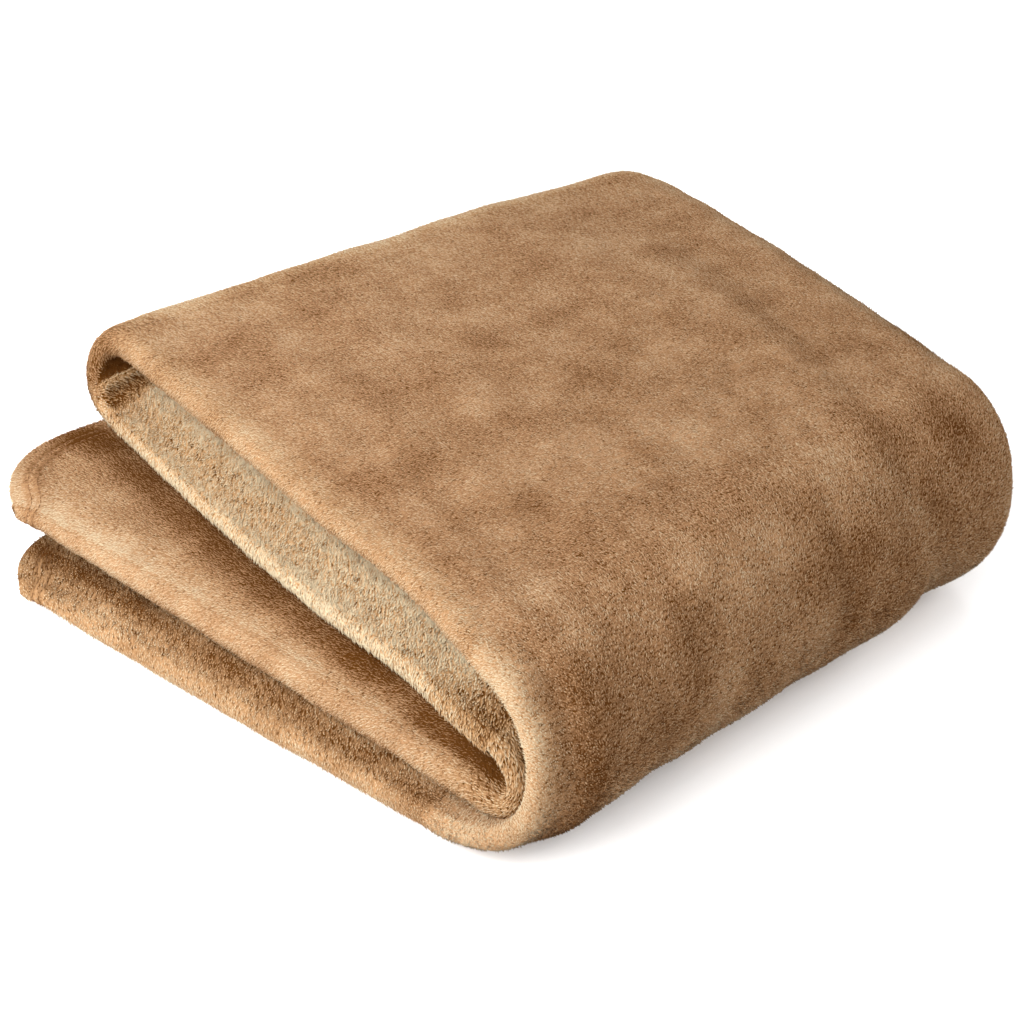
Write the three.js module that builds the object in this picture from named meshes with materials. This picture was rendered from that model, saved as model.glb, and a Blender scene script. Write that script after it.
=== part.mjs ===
// Flannel fleece throw, folded in four across its width and then in four along its length.
// Millimetres, +Z up. X runs along the round front fold, which faces -Y; the packet rests on z = 0.
import * as THREE from 'three';

// Driving dimensions of the cloth
const clothThickness = 3.6; // base cloth with its pile on both sides
const plyGap = 1.6; // air between two plies of one pass, where the band is at its fullest
const passGap = 1.5; // air between two passes
const backLoopRoom = 5.5; // extra air inside the back loop
const upperHemInset = 2; // how far the upper side hem stops short of the right-hand side
const innerHemInset = 22; // the same for the side hem inside the band
const upperHemDroop = 4.6; // how far the upper side hem rolls down over the right-hand side
const droopWidth = 19; // width over which it does so
const endRounding = 1.6; // length over which a free edge is rounded off
const endShrink = 0.5; // share of the thickness left at the very edge

// Pitch of the four plies of a pass and half the height of the pass; loft is the share of plyGap it has
const pitchAt = (loft) => clothThickness + plyGap * loft;
const bandHalfAt = (loft) => 1.5 * pitchAt(loft) + clothThickness / 2;

// Heights of the middle of each pass
const lowerEndLoft = 0.3;
const upperEndLoft = 0.6;
const bandThickness = 2 * bandHalfAt(1);
const lowerEnd = bandHalfAt(lowerEndLoft);
const bottomPass = bandHalfAt(1);
const upperEndPass = bottomPass + bandThickness + passGap;
const upperEnd = 2 * lowerEnd + bandHalfAt(upperEndLoft) + 2.5 * passGap;
const underPass = upperEndPass + bandThickness + passGap;
const topPass = underPass + bandThickness + passGap + backLoopRoom;
const frontFold = (bottomPass + topPass) / 2;
const backLoop = (topPass + underPass) / 2;
const innerBend = (underPass + upperEndPass) / 2;

// The middle of the band, followed from the lower hemmed end, round the front fold, over the top,
// round the back loop, forwards under the top, round the inner bend and back to the upper hemmed end.
// left and right: its two sides in plan; z: its height; rim: half thickness of its left fold; lean: how far
// that fold is moved towards the outer ply; taper: width over which the band thins to it; loft: share of
// plyGap between its plies; bow: how far it bulges backwards; leftRound, rightRound: rounded corners in plan.
const columns = [
  'name', 'left', 'right', 'z', 'rim', 'lean', 'taper', 'loft', 'bow', 'leftRound', 'rightRound',
];
const places = [
  ['lower end', [-178, 158], [141, 156], lowerEnd, 6.6, 1.3, 12, lowerEndLoft, 0, 24, 0],
  ['bottom middle', [-167, 30], [152, 28], bottomPass, 8.4, 1.2, 14, 1, 0, 0, 0],
  ['bottom front', [-155, -101], [150, -120], bottomPass, 8.2, 1.4, 18, 1, 0, 0, 0],
  ['front fold', [-142, -156], [146, -166], frontFold, 6.8, -2.2, 28, 1, 0, 0, 0],
  ['top front', [-127, -109], [177, -123], topPass, 5.4, -1, 36, 1, 0, 0, 0],
  ['top middle', [-106, 34], [209, 6], topPass, 4.8, 0, 42, 1, 0, 0, 0],
  ['top back', [-86, 178], [229, 123], topPass, 4.3, 2, 42, 1, 4, 0, 22],
  ['back loop', [-90, 196], [232, 136], backLoop, 4.1, 1, 42, 1, 4, 0, 22],
  ['under back', [-99, 176], [226, 121], underPass, 4.2, 3, 42, 1, 4, 0, 22],
  ['under middle', [-121, 30], [200, 4], underPass, 4.6, 3.6, 42, 1, 0, 0, 0],
  ['under front', [-134, -121], [160, -132], underPass, 5.6, 2, 34, 1, 0, 0, 0],
  ['inner bend', [-138, -134.5], [152, -144], innerBend, 6, -3.6, 28, 1, 0, 0, 0],
  ['upper end front', [-146, -122], [152, -132], upperEndPass, 7.4, -2, 20, 1, 0, 0, 0],
  ['upper end middle', [-153, 32], [162, 30], upperEndPass, 8.2, -1.2, 16, 1, 0, 0, 0],
  ['upper end', [-161, 212], [157, 176], upperEnd, 6.8, 1, 14, upperEndLoft, -10, 60, 0],
].map((row) => Object.fromEntries(columns.map((column, index) => [column, row[index]])));

// The stretches between those places, with the number of steps along each
const stretches = [
  { kind: 'pass', rows: ['lower end', 'bottom middle', 'bottom front'], steps: 8 },
  { kind: 'bend', rows: ['bottom front', 'front fold', 'top front'], steps: 12 },
  { kind: 'pass', rows: ['top front', 'top middle', 'top back'], steps: 9 },
  { kind: 'bend', rows: ['top back', 'back loop', 'under back'], steps: 9 },
  { kind: 'pass', rows: ['under back', 'under middle', 'under front'], steps: 7 },
  { kind: 'bend', rows: ['under front', 'inner bend', 'upper end front'], steps: 8 },
  { kind: 'pass', rows: ['upper end front', 'upper end middle', 'upper end'], steps: 9 },
];

// Soft swells of the whole stack: centre, rise and spread in plan
const swells = [
  { name: 'crown', x: 40, y: 10, rise: 5, spreadX: 170, spreadY: 130 },
  { name: 'right-hand ridge', x: 120, y: 40, rise: 2.5, spreadX: 30, spreadY: 160 },
  { name: 'hollow beside the left fold', x: -70, y: -70, rise: -2.5, spreadX: 26, spreadY: 60 },
];

// Dents and bulges of the front fold: how far each pushes it back at that x
const dents = [
  { name: 'upright dent', x: 96, depth: 4.0, spread: 16 },
  { name: 'bulge beside it', x: 62, depth: -2.0, spread: 20 },
  { name: 'left-hand bulge', x: -70, depth: -1.5, spread: 34 },
];
const dentsStartAt = -84; // y at which the dents begin to act
const dentsFullAt = -140; // y at which they act in full

// Steps round the section of the band
const outerPlySteps = 8;
const droopSteps = 4;
const lowerPlySteps = 7;
const innerPlySteps = 3;
const outerTurnSteps = 5;
const innerTurnSteps = 4;
const leftCrowding = 1.9; // above 1, the steps of an outer ply crowd towards its left fold

const mix = (a, b, t) => a + (b - a) * t;
const mixPoint = (a, b, t) => a.map((value, axis) => mix(value, b[axis], t));

function smoothStep(t) {
  const clamped = Math.min(1, Math.max(0, t));
  return clamped * clamped * (3 - 2 * clamped);
}

const placeNamed = new Map(places.map((place) => [place.name, place]));

// The value of one column along a stretch: a parabola through three rows on a pass,
// half an ellipse through them on a bend.
function alongStretch(kind, start, middle, end, t) {
  if (kind === 'pass') {
    return 2 * (t - 0.5) * (t - 1) * start - 4 * t * (t - 1) * middle + 2 * t * (t - 0.5) * end;
  }
  const centre = (start + end) / 2;
  const angle = Math.PI * t;
  return centre + Math.cos(angle) * (start - centre) + Math.sin(angle) * (middle - centre);
}

// How far a rounded corner holds an edge back at this distance from the corner's side
function cornerSetBack(radius, distance) {
  const into = Math.min(radius, Math.max(0, radius - distance));
  return radius - Math.sqrt(radius ** 2 - into ** 2);
}

// One row of the table at this share of the way from its left side to its right one
function placeAt(place, share) {
  const width = place.right[0] - place.left[0];
  const [x, y] = mixPoint(place.left, place.right, share);
  const bowed = y + 4 * place.bow * share * (1 - share);
  const leftSetBack = cornerSetBack(place.leftRound, share * width);
  const rightSetBack = cornerSetBack(place.rightRound, (1 - share) * width);
  return [x, bowed - leftSetBack - rightSetBack, place.z];
}

// A point of the band's middle surface: t along the stretch, share from its left fold to its right one
function middlePoint(stretch, t, share) {
  const [start, middle, end] = stretch.rows.map((name) => placeAt(placeNamed.get(name), share));
  return new THREE.Vector3(
    ...start.map((value, axis) => alongStretch(stretch.kind, value, middle[axis], end[axis], t)),
  );
}

// The columns that shape the band's section, at t along the stretch
function bandShape(stretch, t) {
  const shape = {};
  for (const column of ['rim', 'lean', 'taper', 'loft']) {
    const [start, middle, end] = stretch.rows.map((name) => placeNamed.get(name)[column]);
    shape[column] = alongStretch('pass', start, middle, end, t);
  }
  return shape;
}

// Lays the section out flat: points along the cloth's own middle line, from the upper side hem on the
// right, over the outer ply, round the left fold, back along the lower ply, round the right fold and
// along the two inner plies, which turn inside the left fold.
function sectionLine(width, { rim, lean, taper, loft }) {
  const pitch = pitchAt(loft);
  const innerLevel = pitch / 2;
  const outerLevel = 1.5 * pitch;
  const rimLevel = rim - clothThickness / 2;
  const risenAt = (distance) => smoothStep((distance - rimLevel) / taper);
  const leanAt = (distance) => lean * (1 - risenAt(distance));
  const outerAt = (distance) => mix(rimLevel, outerLevel, risenAt(distance));
  const droopAt = (distance) => upperHemDroop * smoothStep(1 - (width - distance) / droopWidth) ** 2;
  const points = [];
  const plyPoint = (level, distance) => points.push({ distance, level });
  const turn = (distance, level, radius, from, steps) => {
    for (let step = 1; step < steps; step += 1) {
      const angle = from + (Math.PI * step) / steps;
      plyPoint(level + radius * Math.sin(angle), distance + radius * Math.cos(angle));
    }
  };
  const outerLeft = clothThickness / 2 + rimLevel;
  const innerLeft = outerLeft + taper;
  const upperRight = width - upperHemInset;
  const foldRight = width - clothThickness / 2 - pitch / 2;
  const innerRight = width - innerHemInset;

  plyPoint(outerLevel - droopAt(upperRight), upperRight);
  for (let step = 0; step < droopSteps; step += 1) {
    const distance = upperRight - endRounding - (droopWidth * step) / droopSteps;
    plyPoint(outerLevel - droopAt(distance), distance);
  }
  for (let step = outerPlySteps; step >= 0; step -= 1) {
    const crowded = (step / outerPlySteps) ** leftCrowding;
    const distance = mix(outerLeft, upperRight - endRounding - droopWidth, crowded);
    plyPoint(leanAt(distance) + outerAt(distance), distance);
  }
  turn(outerLeft, leanAt(outerLeft), outerAt(outerLeft), Math.PI / 2, outerTurnSteps);
  for (let step = 0; step <= lowerPlySteps; step += 1) {
    const crowded = (step / lowerPlySteps) ** leftCrowding;
    const distance = mix(outerLeft, foldRight, crowded);
    plyPoint(leanAt(distance) - outerAt(distance), distance);
  }
  turn(foldRight, -pitch, pitch / 2, -Math.PI / 2, innerTurnSteps);
  for (let step = innerPlySteps; step >= 0; step -= 1) {
    plyPoint(-innerLevel, mix(innerLeft, foldRight, step / innerPlySteps));
  }
  turn(innerLeft, 0, innerLevel, -Math.PI / 2, innerTurnSteps);
  for (let step = 0; step <= innerPlySteps; step += 1) {
    plyPoint(innerLevel, mix(innerLeft, innerRight - endRounding, step / innerPlySteps));
  }
  plyPoint(innerLevel, innerRight);
  return points;
}

// Gives that line the cloth's thickness: one row of points for each face of the cloth
function sectionFaces(line, fullness) {
  const last = line.length - 1;
  const faces = { front: [], back: [] };
  line.forEach((point, index) => {
    const before = line[Math.max(0, index - 1)];
    const after = line[Math.min(last, index + 1)];
    const run = after.distance - before.distance;
    const climb = after.level - before.level;
    const length = Math.hypot(run, climb);
    const atEdge = index === 0 || index === last;
    const half = (clothThickness / 2) * fullness * (atEdge ? endShrink : 1);
    const offDistance = (climb / length) * half;
    const offLevel = (run / length) * half;
    faces.front.push({ distance: point.distance + offDistance, level: point.level - offLevel });
    faces.back.push({ distance: point.distance - offDistance, level: point.level + offLevel });
  });
  return faces;
}

// Swells and dents move every layer together, least at the floor, so that no layer meets the next
const stackHeight = topPass + bandHalfAt(1);
function uneven(point) {
  const raised = point.z / stackHeight;
  for (const swell of swells) {
    const offX = (point.x - swell.x) / swell.spreadX;
    const offY = (point.y - swell.y) / swell.spreadY;
    point.z += swell.rise * raised * Math.exp(-(offX ** 2) - offY ** 2);
  }
  const atFront = smoothStep((dentsStartAt - point.y) / (dentsStartAt - dentsFullAt));
  for (const dent of dents) {
    point.y += dent.depth * atFront * Math.exp(-(((point.x - dent.x) / dent.spread) ** 2));
  }
  return point;
}

const derivativeStep = 1e-3;

// Places one section point in space: along the band's width, then off its middle surface
function placePoint(stretch, t, width, sectionPoint) {
  const share = sectionPoint.distance / width;
  const at = middlePoint(stretch, t, share);
  const ahead = middlePoint(stretch, t + derivativeStep, share);
  const along = ahead.sub(middlePoint(stretch, t - derivativeStep, share));
  const across = middlePoint(stretch, t, 1).sub(middlePoint(stretch, t, 0));
  const outwards = across.cross(along).normalize();
  return uneven(at.addScaledVector(outwards, sectionPoint.level));
}

// Every section along the cloth, with the two free ends rounded off
function clothSections() {
  const sections = [];
  const addSection = (stretch, t, fullness) => {
    const width = middlePoint(stretch, t, 1).distanceTo(middlePoint(stretch, t, 0));
    const faces = sectionFaces(sectionLine(width, bandShape(stretch, t)), fullness);
    const placed = (face) => face.map((point) => placePoint(stretch, t, width, point));
    sections.push({ front: placed(faces.front), back: placed(faces.back) });
  };
  stretches.forEach((stretch, index) => {
    const length = middlePoint(stretch, 0, 0.5).distanceTo(middlePoint(stretch, 1, 0.5));
    const isFirst = index === 0;
    const isLast = index === stretches.length - 1;
    if (isFirst) {
      addSection(stretch, 0, endShrink);
    }
    for (let step = isFirst ? 0 : 1; step <= stretch.steps; step += 1) {
      const held = endRounding / length;
      const t = mix(isFirst ? held : 0, isLast ? 1 - held : 1, step / stretch.steps);
      addSection(stretch, t, 1);
    }
    if (isLast) {
      addSection(stretch, 1, endShrink);
    }
  });
  return sections;
}

// Skins the sections into one closed body
function clothGeometry() {
  const sections = clothSections();
  const count = sections[0].front.length;
  const positions = [];
  sections.forEach((section) => {
    [...section.front, ...section.back].forEach((point) => positions.push(point.x, point.y, point.z));
  });
  const front = (section, point) => section * 2 * count + point;
  const back = (section, point) => front(section, point) + count;
  const triangles = [];
  const quad = (a, b, c, d) => triangles.push(a, c, b, a, d, c);
  const lastPoint = count - 1;
  const lastSection = sections.length - 1;
  for (let section = 0; section < lastSection; section += 1) {
    const next = section + 1;
    for (let point = 0; point < lastPoint; point += 1) {
      quad(front(section, point), front(section, point + 1), front(next, point + 1), front(next, point));
      quad(back(section, point), back(next, point), back(next, point + 1), back(section, point + 1));
    }
    quad(front(section, 0), front(next, 0), back(next, 0), back(section, 0));
    quad(front(next, lastPoint), front(section, lastPoint), back(section, lastPoint), back(next, lastPoint));
  }
  for (let point = 0; point < lastPoint; point += 1) {
    const last = lastSection;
    quad(front(0, point), back(0, point), back(0, point + 1), front(0, point + 1));
    quad(front(last, point), front(last, point + 1), back(last, point + 1), back(last, point));
  }
  const geometry = new THREE.BufferGeometry();
  geometry.setAttribute('position', new THREE.Float32BufferAttribute(positions, 3));
  geometry.setIndex(triangles);
  geometry.computeBoundingBox();
  const centre = geometry.boundingBox.getCenter(new THREE.Vector3());
  geometry.translate(-centre.x, -centre.y, -geometry.boundingBox.min.z);
  geometry.computeVertexNormals();
  return geometry;
}

const fleece = new THREE.MeshStandardMaterial({ color: 0xb38a63, roughness: 0.95, metalness: 0 });
const throwCloth = new THREE.Mesh(clothGeometry(), fleece);
throwCloth.name = 'throw_cloth';

const foldedThrow = new THREE.Group();
foldedThrow.add(throwCloth);

export default foldedThrow;
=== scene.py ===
import math
from functools import partial

import bpy
import numpy as np
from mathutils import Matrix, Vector
from mathutils.bvhtree import BVHTree


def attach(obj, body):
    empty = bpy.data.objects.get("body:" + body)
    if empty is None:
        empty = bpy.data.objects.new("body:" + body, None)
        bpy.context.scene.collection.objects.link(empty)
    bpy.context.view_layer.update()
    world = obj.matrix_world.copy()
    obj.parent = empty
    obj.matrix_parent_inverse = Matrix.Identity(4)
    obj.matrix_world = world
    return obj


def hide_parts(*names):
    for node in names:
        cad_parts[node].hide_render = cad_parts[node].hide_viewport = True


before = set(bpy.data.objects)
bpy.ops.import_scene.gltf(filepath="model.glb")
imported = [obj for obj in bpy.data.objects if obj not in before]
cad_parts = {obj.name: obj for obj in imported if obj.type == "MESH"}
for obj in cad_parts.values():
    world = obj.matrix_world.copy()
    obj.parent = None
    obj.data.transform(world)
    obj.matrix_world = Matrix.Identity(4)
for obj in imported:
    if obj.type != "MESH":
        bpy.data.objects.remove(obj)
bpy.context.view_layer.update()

mm = 0.001

# How the sheet is folded, in millimetres, the same as in the solid
fold = {
    "thickness": 3.6,
    "plyGap": 1.6,
    "passGap": 1.5,
    "backLoopRoom": 5.5,
    "upperHemInset": 2.0,
    "innerHemInset": 22.0,
    "upperHemDroop": 4.6,
    "droopWidth": 19.0,
    "middle": (26.99, 12.65),  # of the packet's outline, which is the origin
}


def pitchAt(loft):
    return fold["thickness"] + fold["plyGap"] * loft


def bandHalfAt(loft):
    return 1.5 * pitchAt(loft) + fold["thickness"] / 2


bottomPass = bandHalfAt(1)
upperEndPass = bottomPass + 2 * bandHalfAt(1) + fold["passGap"]
underPass = upperEndPass + 2 * bandHalfAt(1) + fold["passGap"]
topPass = underPass + 2 * bandHalfAt(1) + fold["passGap"] + fold["backLoopRoom"]
frontFold = (bottomPass + topPass) / 2
backLoop = (topPass + underPass) / 2
innerBend = (underPass + upperEndPass) / 2

# The middle of the band of four plies, from the lower hemmed end to the upper one
placeColumns = ["left", "right", "z", "rim", "lean", "taper", "tuck", "loft", "bow", "leftRound", "rightRound"]
placeRows = {
    "lower end": [(-179, 160.5), (141, 156), 6.4, 3.5, -2.8, 20, 12, -0.3, 0, 35, 0],
    "bottom middle": [(-168, 30), (152, 28), bottomPass, 6.6, 1.4, 18, 14, 1, 0, 0, 0],
    "bottom front": [(-154, -101), (150, -120), bottomPass, 6.2, 0.6, 20, 18, 1, 0, 0, 0],
    "front fold": [(-144, -154.5), (146, -166), frontFold - 2, 5.6, -3.0, 24, 24, 1, 0, 0, 0],
    "top front": [(-129.5, -109), (175, -123), topPass, 6.6, 0, 30, 30, 1, 0, 0, 0],
    "top middle": [(-106, 34), (206, 6), topPass, 6.2, 1.2, 32, 32, 1, 0, 0, 0],
    "top back": [(-86, 178), (225, 119), topPass, 8.0, 2.6, 30, 30, 1, 3, 0, 24],
    "back loop": [(-90, 197), (228, 132), backLoop, 6.8, 1, 30, 30, 1, 3, 0, 24],
    "under back": [(-98, 177), (226, 121), underPass, 5.0, 3, 36, 36, 1, 4, 0, 22],
    "under middle": [(-121, 30), (200, 4), underPass, 5.0, 3.6, 38, 38, 1, 0, 0, 0],
    "under front": [(-137, -121), (160, -132), underPass, 6.2, 3.4, 30, 30, 1, 0, 0, 0],
    "inner bend": [(-139.5, -135.5), (152, -144), innerBend - 2, 6.4, -3.4, 26, 26, 1, 0, 0, 0],
    "upper end front": [(-146, -122), (152, -132), upperEndPass, 7.4, -2, 20, 20, 1, 0, 0, 0],
    "upper end middle": [(-153, 32), (162, 30), upperEndPass, 8.2, -1.2, 16, 16, 1, 0, 0, 0],
    "upper end": [(-158, 210.5), (157, 178.5), 23.6, 3.6, 2.8, 16, 12, 0.2, -8, 58, 0],
}
places = {name: dict(zip(placeColumns, row)) for name, row in placeRows.items()}

# The cloth's stretches, each through three places, and in how many steps
stretches = [
    {"name": "bottom", "kind": "pass", "rows": ["lower end", "bottom middle", "bottom front"], "steps": 34},
    {"name": "frontFold", "kind": "bend", "rows": ["bottom front", "front fold", "top front"], "steps": 26},
    {"name": "top", "kind": "pass", "rows": ["top front", "top middle", "top back"], "steps": 40},
    {"name": "backLoop", "kind": "bend", "rows": ["top back", "back loop", "under back"], "steps": 28},
    {"name": "under", "kind": "pass", "rows": ["under back", "under middle", "under front"], "steps": 34},
    {"name": "innerBend", "kind": "bend", "rows": ["under front", "inner bend", "upper end front"], "steps": 13},
    {"name": "upperEnd", "kind": "pass", "rows": ["upper end front", "upper end middle", "upper end"], "steps": 42},
]

# Swells of the whole stack: x, y, rise, spread along x, spread along y
swells = [
    (40, 10, 5.0, 170, 130),  # crown
    (120, 40, 2.5, 30, 160),  # right-hand ridge
    (-70, -70, -2.5, 26, 60),  # hollow beside the left fold
]
# Dents of the front fold: x, depth, spread
dents = [(96, 4.0, 16), (62, -2.0, 20), (-74, 2.0, 36), (-80, 0.7, 6), (-62, -0.7, 7), (-44, 1.1, 6), (6, 0.9, 9)]
# The left ends of the two bends sag forwards at their lower half
slumps = {"frontFold": (2.5, 60), "innerBend": (-3.0, 60)}
# Where the left fold is pulled in: place along the stretch, spread, how far
pulls = {"top": (0.2, 0.13, 4.5), "under": (0.8, 0.13, 4.0)}
dentsStartAt = -84  # y at which the dents begin
dentsFullAt = -140

# What only shows from close by: the ground cloth under its pile, its hems and its slight waves
sheetDetail = {
    "thickness": 2.4,  # ground cloth, without the pile
    "endRounding": 1.7,
    "endThinning": 0.75,
    "hemRise": 0.9,  # the turned-under hem makes the sheet thicker
    "hemWidth": 14.5,
    "hemFade": 2.5,
    "hemRows": (8.4, 12.6),
    "grooveWidth": 1.2,
    "grooveDepth": 0.55,
    "hemSections": 26,  # how many sections at each end are close enough to be measured from it
    "sideHemStart": 14,  # side hems are hardly thickened and have no stitches
    "floorGap": 0.25,
}
# Slight waves of the outer plies: wavelength along the cloth, across it, height, phase
waves = [(61, 97, 0.22, 0.3), (37, 53, 0.16, 1.9), (83, 41, 0.18, 4.1), (23, 31, 0.09, 2.6)]
# Folds and hollows laid in the outer face: along the cloth and from its left fold at the start,
# the same at the end, width, height, and how far the ends fade
creases = [
    (318, 17, 392, 20, 5.5, -2.4, 14),  # valley beside the rolled rim at the front
    (396, 25, 446, 27, 3.5, 0.8, 12),  # light fold beside the rim
    (394, 33, 444, 35, 4.5, -0.8, 12),
    (400, 222, 560, 252, 9, 1.3, 45),  # ridge on the right of the top
    (410, 244, 560, 272, 12, -1.3, 45),
    (334, 168, 370, 178, 9, -2.0, 12),  # upright dent of the front
    (470, 62, 640, 52, 7, 0.6, 40),  # soft bands beside the left fold
    (480, 82, 650, 72, 8, -0.6, 40),
    (520, 104, 640, 98, 9, 0.5, 40),
]
# The tight bend of the back loop buckles
loopRidge = {"along": 711, "width": 3.0, "height": 6.0, "reach": 90, "fade": 30}


def smoothStep(t):
    t = np.clip(t, 0, 1)
    return t * t * (3 - 2 * t)


# A value on the way through three places: a curve on a pass, half an ellipse on a bend
def alongStretch(kind, start, middle, end, t):
    if kind == "pass":
        return 2 * (t - 0.5) * (t - 1) * start - 4 * t * (t - 1) * middle + 2 * t * (t - 0.5) * end
    centre = (start + end) / 2
    return centre + math.cos(math.pi * t) * (start - centre) + math.sin(math.pi * t) * (middle - centre)


def cornerSetBack(radius, distance):
    into = np.clip(radius - distance, 0, radius)
    return radius - np.sqrt(radius**2 - into**2)


def placeAt(place, share):
    width = place["right"][0] - place["left"][0]
    x = place["left"][0] + width * share
    y = place["left"][1] + (place["right"][1] - place["left"][1]) * share
    y = y + 4 * place["bow"] * share * (1 - share)
    y = y - cornerSetBack(place["leftRound"], share * width)
    y = y - cornerSetBack(place["rightRound"], (1 - share) * width)
    return np.stack([x, y, np.full_like(x, place["z"])], axis=1)


def middlePoint(stretch, t, share):
    share = np.atleast_1d(np.asarray(share, float))
    rows = [placeAt(places[name], share) for name in stretch["rows"]]
    points = alongStretch(stretch["kind"], *rows, t)
    depth, reach = slumps.get(stretch["name"], (0, 1))
    points[:, 1] -= depth * math.sin(2 * math.pi * t) * np.exp(-((share * 300 / reach) ** 2))
    centre, spreadOut, pull = pulls.get(stretch["name"], (0, 1, 0))
    points[:, 0] += pull * math.exp(-(((t - centre) / spreadOut) ** 2)) * np.clip(1 - share, 0, 1) ** 2
    return points


def bandShape(stretch, t):
    rows = [places[name] for name in stretch["rows"]]
    return {c: alongStretch("pass", *[row[c] for row in rows], t) for c in ("rim", "lean", "taper", "tuck", "loft")}


# Distances at which the section has its points: close together at the left fold and at the side hem
leftSteps = np.array([0, 2, 4.2, 6.6, 9.2, 12, 15, 18.5, 22.5, 27, 32, 37.5, 43.5, 50, 57])
hemSteps = np.array([0.9, 2.2, 4.3, 6.8, 8.4, 9.6, 11.2, 12.6, 13.8, 15.8, 18.5, 22])
plySteps = {"outer": 29, "lower": 31, "inner": 6, "outerTurn": 10, "foldTurn": 8, "innerTurn": 5}


def spread(start, end, leftOnes, rightOnes, steps):
    middle = np.linspace(start + leftOnes[-1], end - rightOnes[-1], steps + 2)[1:-1]
    return np.concatenate([start + leftOnes, middle, end - rightOnes[::-1]])


def turn(distance, level, radius, start, steps):
    angle = start + np.pi * np.arange(1, steps) / steps
    return distance + radius * np.cos(angle), level + radius * np.sin(angle)


# One section of the band, laid flat: the sheet's own middle line, from the upper side hem, over the outer ply,
# round the left fold, along the lower ply, round the right-hand fold and along the two inner plies
def sectionLine(width, shape):
    pitch = pitchAt(shape["loft"])
    inner = pitch / 2
    outer = 1.5 * pitch
    half = fold["thickness"] / 2
    rimLevel = shape["rim"] - half
    taper = shape["taper"]

    def risenAt(d):
        return smoothStep((d - rimLevel) / taper)

    def leanAt(d):
        return shape["lean"] * (1 - risenAt(d))

    def outerAt(d):
        return rimLevel + (outer - rimLevel) * risenAt(d)

    def droopAt(d):
        return fold["upperHemDroop"] * smoothStep(1 - (width - d) / fold["droopWidth"]) ** 2

    outerLeft = half + rimLevel
    innerLeft = outerLeft + shape["tuck"]
    upperRight = width - fold["upperHemInset"]
    foldRight = width - half - pitch / 2
    innerRight = width - fold["innerHemInset"]
    parts = []

    hemAndEdge = np.concatenate([[0], hemSteps])
    d = spread(outerLeft, upperRight, leftSteps, hemAndEdge, plySteps["outer"])[::-1]
    parts.append(("outer", d, leanAt(d) + outerAt(d) - droopAt(d)))
    d, level = turn(outerLeft, 0, outerAt(outerLeft), np.pi / 2, plySteps["outerTurn"])
    parts.append(("turn", d, level + leanAt(outerLeft)))
    d = spread(outerLeft, foldRight, leftSteps, np.array([0, 4, 9]), plySteps["lower"])
    parts.append(("lower", d, leanAt(d) - outerAt(d)))
    parts.append(("fold", *turn(foldRight, -pitch, pitch / 2, -np.pi / 2, plySteps["foldTurn"])))
    d = np.linspace(foldRight, innerLeft, plySteps["inner"])
    parts.append(("third", d, np.full_like(d, -inner)))
    d, level = turn(innerLeft, 0, inner, np.pi / 2, plySteps["innerTurn"])
    parts.append(("innerTurn", d, level[::-1]))
    d = np.concatenate([np.linspace(innerLeft, innerRight - 12, plySteps["inner"]), innerRight - np.array([5, 1, 0])])
    parts.append(("second", d, np.full_like(d, inner)))
    return parts


# Lays the swells and dents on the folded packet
def uneven(points):
    top = topPass + bandHalfAt(1)
    x, y, z = points.T
    raised = z / top
    for cx, cy, rise, wide, deep in swells:
        z = z + rise * raised * np.exp(-(((x - cx) / wide) ** 2) - ((y - cy) / deep) ** 2)
    atFront = smoothStep((dentsStartAt - y) / (dentsStartAt - dentsFullAt))
    for cx, depth, wide in dents:
        y = y + depth * atFront * np.exp(-(((x - cx) / wide) ** 2))
    return np.stack([x, y, z], axis=1)


plyNames = ["outer", "turn", "lower", "fold", "third", "innerTurn", "second"]


# Places one section in space, as the sheet's two faces
def placeSection(stretch, t, fromEnd, along):
    width = float(np.linalg.norm(middlePoint(stretch, t, 1) - middlePoint(stretch, t, 0)))
    parts = sectionLine(width, bandShape(stretch, t))
    ply = np.concatenate([np.full(len(d), plyNames.index(name)) for name, d, _ in parts])
    distance = np.concatenate([d for _, d, _ in parts])
    level = np.concatenate([l for _, _, l in parts])

    steps = np.hypot(np.diff(distance), np.diff(level))
    across = np.concatenate([[0], np.cumsum(steps)])
    wave = sum(h * np.sin(2 * np.pi * (along / a + across / b) + p) for a, b, h, p in waves)
    level = level + np.where(ply < 3, wave, 0) + np.where(ply == 0, creaseAt(along, distance), 0)
    inLoop = loopRidge["height"] * math.exp(-(((along - loopRidge["along"]) / loopRidge["width"]) ** 2))
    level = level - np.where(ply == 2, inLoop * smoothStep((loopRidge["reach"] - distance) / loopRidge["fade"]), 0)

    run = np.gradient(distance)
    climb = np.gradient(level)
    length = np.hypot(run, climb)
    fromSide = np.minimum(across, across[-1] - across)
    half = np.full(len(distance), sheetDetail["thickness"] / 2)
    rounding = sheetDetail["endRounding"]
    for edge in (fromSide, np.full_like(fromSide, fromEnd)):
        into = np.clip(1 - edge / rounding, 0, 1)
        half *= np.sqrt(1 - sheetDetail["endThinning"] * into**2)

    share = distance / width
    middle = middlePoint(stretch, t, share)
    rightward = (middlePoint(stretch, t, 1) - middlePoint(stretch, t, 0))[0] / width
    outwards = np.cross(rightward, middlePoint(stretch, t + 1e-3, share) - middlePoint(stretch, t - 1e-3, share))
    outwards /= np.linalg.norm(outwards, axis=1)[:, None]
    faces = []
    for side in (1, -1):
        d = side * climb / length * half
        l = level - side * run / length * half
        faces.append(uneven(middle + rightward * d[:, None] + outwards * l[:, None]))
    return faces[0], faces[1], ply, across, distance
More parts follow.
